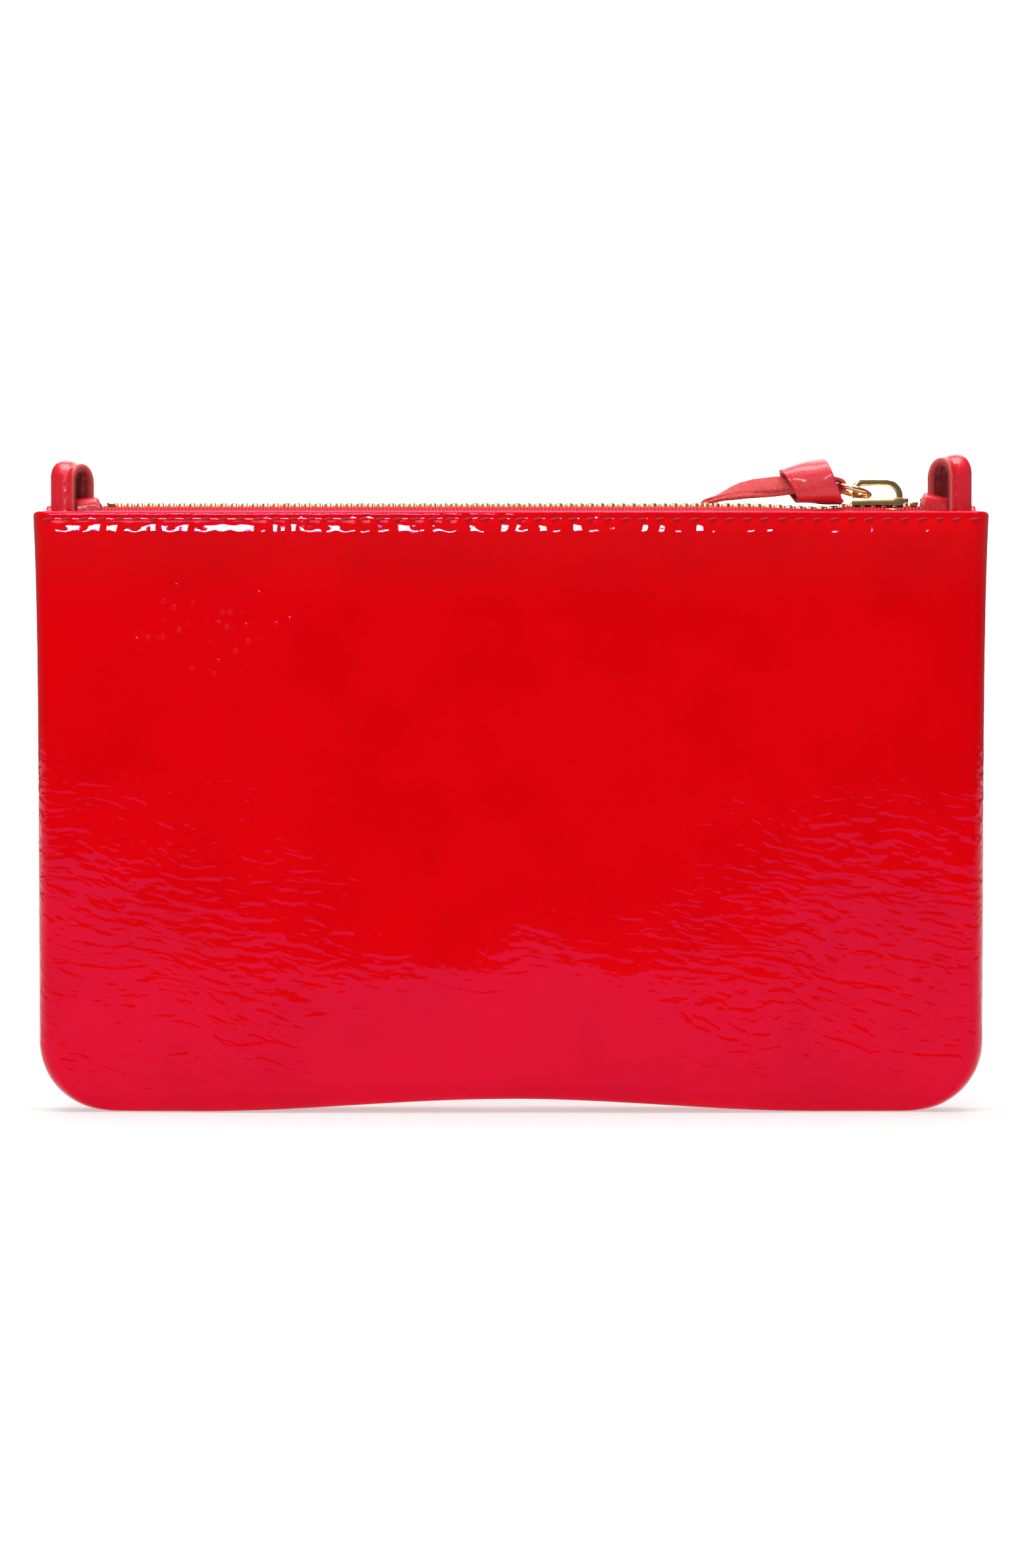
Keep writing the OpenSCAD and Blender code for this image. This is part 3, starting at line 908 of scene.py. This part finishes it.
def tooth_mesh():
    """One tooth of the front row round the origin, its head towards +Y."""
    bm = bmesh.new()
    bmesh.ops.create_cube(bm, size=1.0)
    low, high = -TOOTH_BACK, TOOTH_REACH
    for v in bm.verts:
        head = v.co.y > 0
        v.co = Vector((
            v.co.x * TOOTH_WIDTH * (0.72 if head else 1.0),
            high if head else low,
            v.co.z * 2 * TOOTH_HALF * (0.78 if head else 1.0),
        ))
    cut = bmesh.ops.bisect_plane(bm, geom=bm.verts[:] + bm.edges[:] + bm.faces[:],
                                 plane_co=(0, -0.5, 0), plane_no=(0, 1, 0))["geom_cut"]
    for v in [g for g in cut if isinstance(g, bmesh.types.BMVert)]:
        v.co.z *= 1.12
    bmesh.ops.bevel(bm, geom=bm.edges[:], offset=0.16, offset_type="OFFSET", segments=2,
                    profile=0.5, affect="EDGES", material=-1)
    mesh = bpy.data.meshes.new("one_tooth")
    bm.to_mesh(mesh)
    bm.free()
    return mesh


ONE_TOOTH = tooth_mesh()


def tooth_places(shift):
    first = FIRST_TOOTH + shift
    count = int((TEETH_END - first) / TOOTH_PITCH) + 1
    return [first + k * TOOTH_PITCH for k in range(count)]


def teeth_row(name, side):
    bm = bmesh.new()
    for x in tooth_places(TOOTH_PITCH / 2 if side else 0):
        before = len(bm.verts)
        bm.from_mesh(ONE_TOOTH)
        bm.verts.ensure_lookup_table()
        for v in bm.verts[before:]:
            v.co = (v.co + Vector((x, -parting(x), ZIP_Z + sag(x)))) * MM
    if side:
        mirror(bm)
    return make(name, bm)


def tooth_weight(p):
    """Every vertex of a tooth takes the weight at the tooth's middle, so that metal stays stiff."""
    k = round((p.x - FIRST_TOOTH) / TOOTH_PITCH)
    return mouth_weight(Vector((FIRST_TOOTH + k * TOOTH_PITCH, 0, ZIP_Z)))


both_halves(teeth_row, "row_of_teeth", GOLD_TEETH, "gold_metal", "teeth",
            weight_at=tooth_weight)
bpy.data.meshes.remove(ONE_TOOTH)

# %% [markdown]
# ## Strap loops
#
# A loop is a strip folded along its length, so that the fold makes a round tube on its outer side
# and the two raw edges lie together on the side of the zip, with a row of stitches near them. The
# strip is then bent into an arch. A closed cross-section carried along the arch gives all of it.
# Above the hem the arch twists a little, which turns the opening towards the front.

# %% Cross-section and path of a loop
LOOP_W = 6.8
LOOP_HALF = high_mm("right_strap_loop").y
LOOP_TOP = high_mm("right_strap_loop").z
LOOP_LOW = low_mm("right_strap_loop").z
LOOP_T = 2.2
LOOP_MID_R = LOOP_HALF - LOOP_T / 2
LOOP_ROUND_Z = LOOP_TOP - LOOP_HALF
LOOP_TWIST = {-1: 28.5, 1: 34}
LOOP_TALLER = {-1: -0.04, 1: 0.08}
LOOP_SLOPE = 0.9
LOOP_X = LOOP_MIDDLE + 0.6
SECTION = 40
LOOP_STEPS = 110


def loop_section(k, length):
    """Point k of the strip's outline: across from the raw edges (0) to the fold, and its height."""
    t = k / SECTION
    fold_r = LOOP_T / 2
    reach = LOOP_W - fold_r
    if t < 0.4:
        across, height = reach * t / 0.4, 1
    elif t < 0.6:
        a = math.pi * (t - 0.4) / 0.2
        return reach + fold_r * math.sin(a), fold_r * math.cos(a)
    else:
        across, height = reach * (1 - t) / 0.4, -1
    dimple = 0.5 + 0.5 * math.cos(2 * math.pi * length / 2.9)
    pinch = 0.42 * bell(across, 1.7, 0.6) * (0.5 + 0.5 * dimple)
    swell_out = 0.42 * bell(across, 4.4, 1.9) if height > 0 else 0.1 * bell(across, 4.4, 1.9)
    edge = 0.10 * smooth_step(0.5, 0, across)
    rough = 0.07 * noise.noise(Vector((across / 1.7, length / 1.9, height * 3)))
    return across, height * (fold_r * (1 - pinch - edge) + swell_out - 0.08 + rough)


def loop_path(s):
    """Point (y, z), outward direction (y, z) and length at the share s of the arch."""
    leg = LOOP_ROUND_Z - LOOP_LOW
    bend = math.pi * LOOP_MID_R
    at = s * (2 * leg + bend)
    if at < leg:
        return (-LOOP_MID_R, LOOP_LOW + at), (-1, 0), at
    if at > leg + bend:
        return (LOOP_MID_R, LOOP_LOW + 2 * leg + bend - at), (1, 0), at
    a = math.pi - (at - leg) / LOOP_MID_R
    out = (math.cos(a), math.sin(a))
    return (LOOP_MID_R * out[0], LOOP_ROUND_Z + LOOP_MID_R * out[1]), out, at


def loop_rise(z):
    """0 inside the hem, where a loop stands straight, and 1 above it, where it is twisted."""
    return smooth_step(TOP - 3, TOP + 0.8, z)


def loop_turn(side, share):
    return Matrix.Rotation(math.radians(side * LOOP_TWIST[side]) * share, 3, "Z")


def strap_loop(name, side):
    """side is 1 for the right loop and -1 for the left one."""
    def place(i, j):
        (y, z), (out_y, out_z), length = loop_path(j / LOOP_STEPS)
        across, height = loop_section(i % SECTION, length)
        x = across - LOOP_W / 2
        p = Vector((side * x, y + out_y * height, z + out_z * height))
        rise = loop_rise(p.z)
        p = loop_turn(side, rise) @ p
        p.z += rise * ((p.z - TOP) * LOOP_TALLER[side] + LOOP_SLOPE * x / LOOP_W)
        return p.x + side * LOOP_X, p.y, p.z

    bm = grid(SECTION, LOOP_STEPS, place)
    close(bm)
    piece = make(name, bm)

    def untwisted(p):
        """Across from the raw edges, and the distance from the middle line of the arch."""
        rise = loop_rise(p.z)
        local = loop_turn(side, -rise) @ Vector((p.x - side * LOOP_X, p.y, 0))
        x = side * local.x
        taller = LOOP_TALLER[side] * rise
        z = (p.z + taller * TOP - rise * LOOP_SLOPE * x / LOOP_W) / (1 + taller)
        return x + LOOP_W / 2, math.hypot(local.y, max(0, z - LOOP_ROUND_Z))

    def raw_at(p):
        return smooth_step(0.42, 0.08, untwisted(p)[0] + 0.14 * noise.noise(p / 0.9))

    # painted shade: 1 in the hollow under the arch, where the finish paints the leather a dark red
    def hollow_shade_at(p):
        return smooth_step(LOOP_MID_R - 0.3, LOOP_MID_R - 0.9, untwisted(p)[1])

    mark(piece, "raw", raw_at)
    mark(piece, "inside", hollow_shade_at)
    return piece


for side, name in ((-1, "left"), (1, "right")):
    loop = strap_loop(name + "_loop", side)
    settle(loop, "root", LOOP_LEATHER, "patent_strap", name + "_strap_loop")

# %% [markdown]
# ## End tabs
#
# Under each loop a scrap of leather is folded over the end of the zip. Its inner edge is cut, so
# it shows raw fibre round a low arch, and its sides run down into the hem.

# %% End tabs
TAB_T = 0.9
TAB_HALF = high_mm("right_end_tab").y
TAB_TOP = high_mm("right_end_tab").z
TAB_LOW = low_mm("right_end_tab").z
TAB_IN = low_mm("right_end_tab").x
TAB_OUT = high_mm("right_end_tab").x
TAB_COLUMNS = 36
TAB_ROWS = 40


def end_tab(name, side, inner_rise):
    """The tab's top falls from inner_rise at the zip to nothing at the outer end."""
    arch_z = TAB_TOP - TAB_HALF

    def place(i, j):
        along = j / TAB_ROWS
        t = i / TAB_COLUMNS
        if t < 0.25:
            y, z = -TAB_HALF, TAB_LOW + (arch_z - TAB_LOW) * t / 0.25
        elif t > 0.75:
            y, z = TAB_HALF, TAB_LOW + (arch_z - TAB_LOW) * (1 - t) / 0.25
        else:
            a = math.pi * (1 - (t - 0.25) / 0.5)
            y, z = TAB_HALF * math.cos(a), arch_z + TAB_HALF * math.sin(a)
        x = TAB_IN + (TAB_OUT - TAB_IN) * along
        top = smooth_step(TOP - 1, TAB_TOP, z)
        z -= 1.8 * top * smooth_step(1.5, 0, x - TAB_IN) ** 2
        z += top * (inner_rise * (1 - along) ** 2 - 2.2 * along * along)
        x += 0.35 * top * noise.noise(Vector((y, z, side * 2.0))) * (1 - along)
        y *= 1 - 0.25 * top * along
        return side * x, y, z

    bm = grid(TAB_COLUMNS, TAB_ROWS, place)
    if side > 0:
        bmesh.ops.reverse_faces(bm, faces=bm.faces)
    piece = make(name, bm)
    mark(piece, "raw", lambda p: smooth_step(0.95, 0.6, abs(p.x) - TAB_IN + 0.2 * noise.noise(p)))
    return thicken(piece, TAB_T)


for side, name, rise in ((-1, "left", 0.0), (1, "right", 1.3)):
    tab = end_tab(name + "_tab", side, rise)
    settle(tab, "root", LOOP_LEATHER, "patent_strap", name + "_end_tab")

# %% [markdown]
# ## The pull
#
# A strap is doubled round the ring, and one turn of soft leather is wrapped round both layers, so
# tight at one end and so loose at the other that it makes a short cone. Its edges run aslant,
# because it is wound as a screw. The two ends of the strap leave the narrow side together, bend
# back over the hem and hang down behind the pouch.

# %% The wrapped turn
PULL_HINGE = Vector(JOINTS["pull_swing"]["pos_m"]) / MM
WRAP_LEFT, WRAP_RIGHT = Vector((66.6, 0, 149.0)), Vector((77.2, 0, 150.15))
WRAP_WALL = 0.85
WRAP_REST_Z = 144.75
WRAP_SECTION = 72
WRAP_STEPS = 30
RIM_STEPS = 3
print("ring's left side at", [round(c, 2) for c in PULL_HINGE])


def wrap_point(turn, along, out):
    """A point of the wrapped turn: turn in radians from the top towards the front, along from the
    narrow left end (0) to the wide right end (1), and out from its skin."""
    middle = WRAP_LEFT.lerp(WRAP_RIGHT, along)
    tall = 4.1 + 1.95 * max(0, along) ** 0.85 + out
    deep = 3.5 + 1.9 * max(0, along) ** 0.9 + out
    soft = 1 + 0.035 * math.sin(3 * turn + 4 * along) + 0.02 * math.sin(5 * turn - 3)
    up, front = tall * soft * math.cos(turn), deep * soft * math.sin(turn)
    slant = (0.56 - 0.17 * along) * up - 0.16 * front * (1 - along)
    return Vector((middle.x - slant, -front, middle.z + up))


def pull_wrap():
    """The turn of leather as a tube with thick walls, raw at both rims."""
    rows = 2 * (WRAP_STEPS + RIM_STEPS)
    skin, rim = WRAP_STEPS / rows, RIM_STEPS / rows

    def place(i, j):
        turn = 2 * math.pi * (i % WRAP_SECTION) / WRAP_SECTION
        t = j / rows
        if t <= skin:
            along, out = t / skin, 0
        elif t < skin + rim:
            k = (t - skin) / rim
            along, out = 1 + 0.012 * math.sin(math.pi * k), -WRAP_WALL * k
        elif t <= 2 * skin + rim:
            along, out = 1 - (t - skin - rim) / skin, -WRAP_WALL
        else:
            k = (t - 2 * skin - rim) / rim
            along, out = -0.012 * math.sin(math.pi * k), -WRAP_WALL * (1 - k)
        p = wrap_point(turn, along, out)
        if out == 0:
            crush = 0.10 * noise.noise(p / 2.4) + 0.16 * bell(along, 0.02, 0.05)
            p += (p - wrap_point(turn, along, -1)) * crush
        rests = WRAP_REST_Z + 0.75 * smooth_step(3.2, 2.3, abs(p.y)) - out
        p.z = max(p.z, rests)
        return p

    bm = grid(WRAP_SECTION, rows, place)
    weld(bm)
    bmesh.ops.recalc_face_normals(bm, faces=bm.faces)
    piece = make("pull_wrap", bm)
    near_skin = [
        wrap_point(2 * math.pi * k / WRAP_SECTION, a / 40, 0.05)
        for k in range(WRAP_SECTION) for a in range(41)
    ]
    tree = KDTree(len(near_skin))
    for number, p in enumerate(near_skin):
        tree.insert(p, number)
    tree.balance()
    mark(piece, "raw", lambda p: smooth_step(0.36, 0.52, tree.find(p)[2]))
    return piece


wrap = pull_wrap()
settle(wrap, "pull", PULL_LEATHER, "pull_leather", "pull_knot")

# %% [markdown]
# The strap itself is a soft flat strip. Its line is a smooth curve through a few places, and a
# second line says which way its width points, so that it can roll over as it bends back.

# %% The strap as strips
STRIP_SECTION = 28


def curve_through(points, t):
    """A smooth curve through points, from t = 0 at the first to 1 at the last."""
    n = len(points) - 1
    k = min(int(t * n), n - 1)
    u = t * n - k
    a, b = points[max(k - 1, 0)], points[k]
    c, d = points[k + 1], points[min(k + 2, n)]
    return (b * 2 + (c - a) * u + (a * 2 - b * 5 + c * 4 - d) * u ** 2
            + (b * 3 - a - c * 3 + d) * u ** 3) / 2


def strip(name, line, widths, width, thickness, steps, seed=0.0):
    """A strip along line. widths are directions across it, one for each point of line."""
    def place(i, j):
        t = j / steps
        middle = curve_through(line, t)
        ahead = curve_through(line, min(1, t + 0.01)) - curve_through(line, max(0, t - 0.01))
        ahead.normalize()
        across = curve_through(widths, t)
        across = (across - ahead * across.dot(ahead)).normalized()
        up = ahead.cross(across)
        a = 2 * math.pi * (i % STRIP_SECTION) / STRIP_SECTION
        # a rounded rectangle, as a circle pushed outwards
        c, s = math.cos(a), math.sin(a)
        push = 1 / max(abs(c) ** 5 + abs(s) ** 5, 1e-6) ** 0.2
        ragged = 1 + 0.05 * noise.noise(Vector((seed, t * 9, c)))
        bow = 0.12 * (c * push) ** 2
        flat = middle + across * (c * push * width / 2 * ragged)
        return flat + up * (s * push * thickness / 2 + bow + 0.12 * noise.noise(flat / 1.6))

    bm = grid(STRIP_SECTION, steps, place)
    close(bm)
    piece = make(name, bm)
    mark(piece, "raw", lambda p: 1.0)
    return piece


def turn_round_ring():
    """The strap's path: in above the ring, round its left side, and out below it."""
    r = 1.45
    above = [(-9.5, 1.9), (-5, 2.0), (-1, r + 0.4)]
    bend = [(0.5 + r * math.sin(a), r * math.cos(a)) for a in (0.5, 1.1, 1.7, 2.3, 2.8)]
    below = [(-1, -r - 0.3), (-5, -1.7), (-9.5, -1.6)]
    return [
        Vector((PULL_HINGE.x + x, 0, PULL_HINGE.z + z))
        for x, z in above + bend + below
    ]


turn_line = turn_round_ring()
turn_widths = [Vector((0, 1, 0))] * len(turn_line)
ring_turn = strip("pull_strap_turn", turn_line, turn_widths, 4.6, 1.0, steps=80)
settle(ring_turn, "pull", PULL_LEATHER, "pull_leather", "pull_strap")

EXIT = Vector((PULL_HINGE.x - 9.6, 0, PULL_HINGE.z + 0.55))
BACK_Y = HEM_HALF + 1.75
TAIL_WIDTH = 4.4
TAIL_THICK = 0.95


def tail(name, shift, drop, lift_z, seed):
    """One end of the strap: out of the wrap, over the hem, and down behind."""
    line = [
        EXIT + Vector((0, 0, lift_z)),
        Vector((62.6, 0.6, EXIT.z - 0.5 + lift_z)),
        Vector((57.0 - shift, 2.9, EXIT.z - 1.0 + lift_z)),
        Vector((51.6 - shift, 5.6, EXIT.z - 2.3 + lift_z)),
        Vector((47.6 - shift, BACK_Y - 0.4 + shift * 0.15, EXIT.z - 5.0 + lift_z)),
        Vector((46.2 - shift, BACK_Y + shift * 0.15, EXIT.z - 10)),
        Vector((45.6 - shift, BACK_Y + shift * 0.15, EXIT.z - drop)),
    ]
    widths = [
        Vector((0, 0.7, 0.7)), Vector((0, 0.6, 0.8)), Vector((0.2, 0.6, 0.75)),
        Vector((0.5, 0.7, 0.45)), Vector((0.9, 0.4, 0.1)), Vector((1, 0.05, 0)), Vector((1, 0, 0)),
    ]
    return strip(name, line, widths, TAIL_WIDTH, TAIL_THICK, steps=90, seed=seed)


for name, shift, drop, lift_z, seed in (
        ("upper", 0.0, 24.5, 0.55, 1.0),
        ("lower", 1.6, 21.0, -0.55, 5.0)):
    end = tail("pull_strap_tail_" + name, shift, drop, lift_z, seed)
    settle(end, "pull", PULL_LEATHER, "pull_leather", "pull_strap")

# %% [markdown]
# ## Metal and thread that the frame already has right
#
# The slider, its crown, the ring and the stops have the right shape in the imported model. Real
# castings have no sharp edges, and it is the small rounding that catches the light, so all but the
# ring are copied, merged and bevelled. The ring and the seam's thread keep their mesh.

# %% Rounded copies of the castings
SAME_FACE = math.radians(1.5)
SHARP = math.radians(35)


def rounded_copy(node, name, width):
    bm = bmesh.new()
    bm.from_mesh(frame["nodes"][node].data)
    weld(bm, 0.003)
    bmesh.ops.dissolve_limit(bm, angle_limit=SAME_FACE, verts=bm.verts, edges=bm.edges)
    sharp = [e for e in bm.edges if len(e.link_faces) == 2 and e.calc_face_angle() > SHARP]
    bmesh.ops.bevel(bm, geom=sharp, offset=width * MM, offset_type="OFFSET", segments=3,
                    profile=0.5, affect="EDGES", material=-1, clamp_overlap=True)
    bmesh.ops.triangulate(bm, faces=bm.faces)
    return make(name, bm)


for node, name, width in (
        ("slider_body", "slider_casting", 0.38),
        ("slider_crown", "crown_casting", 0.36),
        ("bottom_stop", "bottom_clip", 0.30),
        ("front_top_stop", "front_top_clip", 0.30),
        ("back_top_stop", "back_top_clip", 0.30)):
    casting = rounded_copy(node, name, width)
    settle(casting, body_of(frame["nodes"][node])[0], GOLD, "gold_metal", node)

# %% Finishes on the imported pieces
for node, finish in (("pull_ring", GOLD), ("seam_thread", THREAD)):
    piece = frame["nodes"][node]
    piece.data.materials.clear()
    piece.data.materials.append(finish)
print("kept", sorted(o.name for o in frame["nodes"].values() if not o.hide_render))

# %% [markdown]
# ## Light
#
# Patent leather shows the room. A pale floor in front of the pouch fills its lower third, where
# the skin leans down, and a dark room behind the camera keeps the rest a deep red. A narrow strip
# light at the front leaves its glints on the hem. A dim key light stands above and to the left,
# and two large soft boxes overhead light the colour and the backdrop.

# %% Floor, backdrop and lights
ROOM_LIGHT = 0.11


def stage_plane(name, width, depth, middle, turn, brightness):
    bm = bmesh.new()
    bmesh.ops.create_grid(bm, x_segments=1, y_segments=1, size=0.5)
    bmesh.ops.scale(bm, vec=(width, depth, 1), verts=bm.verts)
    bmesh.ops.rotate(bm, matrix=Matrix.Rotation(math.radians(turn), 3, "X"), verts=bm.verts)
    bmesh.ops.translate(bm, vec=middle, verts=bm.verts)
    plane = make(name, bm)
    paper = Finish(name + "_paper", Roughness=1.0, Specular_IOR_Level=0.0,
                   Base_Color=(0.40, 0.40, 0.40, 1), Emission_Color=(1, 1, 1, 1),
                   Emission_Strength=brightness)
    plane.data.materials.append(paper.material)


stage_plane("floor", 6, 2.66, (0, 0.87, -0.0002), 0, 0.48)
stage_plane("backdrop", 1.4, 1.15, (0, 1.6, 0.57), 90, 1.0)


def soft_box(name, place, aim, width, height, power):
    light = bpy.data.lights.new(name, "AREA")
    light.shape = "RECTANGLE"
    light.size = width
    light.size_y = height
    light.energy = power
    lamp = bpy.data.objects.new(name, light)
    lamp.location = place
    lamp.rotation_euler = (Vector(aim) - Vector(place)).to_track_quat("-Z", "Y").to_euler()
    scene.collection.objects.link(lamp)


soft_box("strip_light", (-0.15, -1.0, 0.42), (-0.05, 0, 0.14), 0.28, 0.09, 2.7)
soft_box("key_light", (-0.22, -0.40, 0.62), (0, 0, 0.12), 0.40, 0.22, 0.6)
soft_box("top_light", (0.0, -0.06, 1.2), (0, -0.06, 0), 1.2, 0.7, 20)
soft_box("back_light", (0.0, 1.25, 1.2), (0, 1.25, 0), 1.6, 0.6, 13)

world = bpy.data.worlds.new("room")
world.use_nodes = True
room = world.node_tree.nodes["Background"].inputs
room["Color"].default_value = (1, 1, 1, 1)
room["Strength"].default_value = ROOM_LIGHT
scene.world = world
scene.view_settings.view_transform = "Standard"
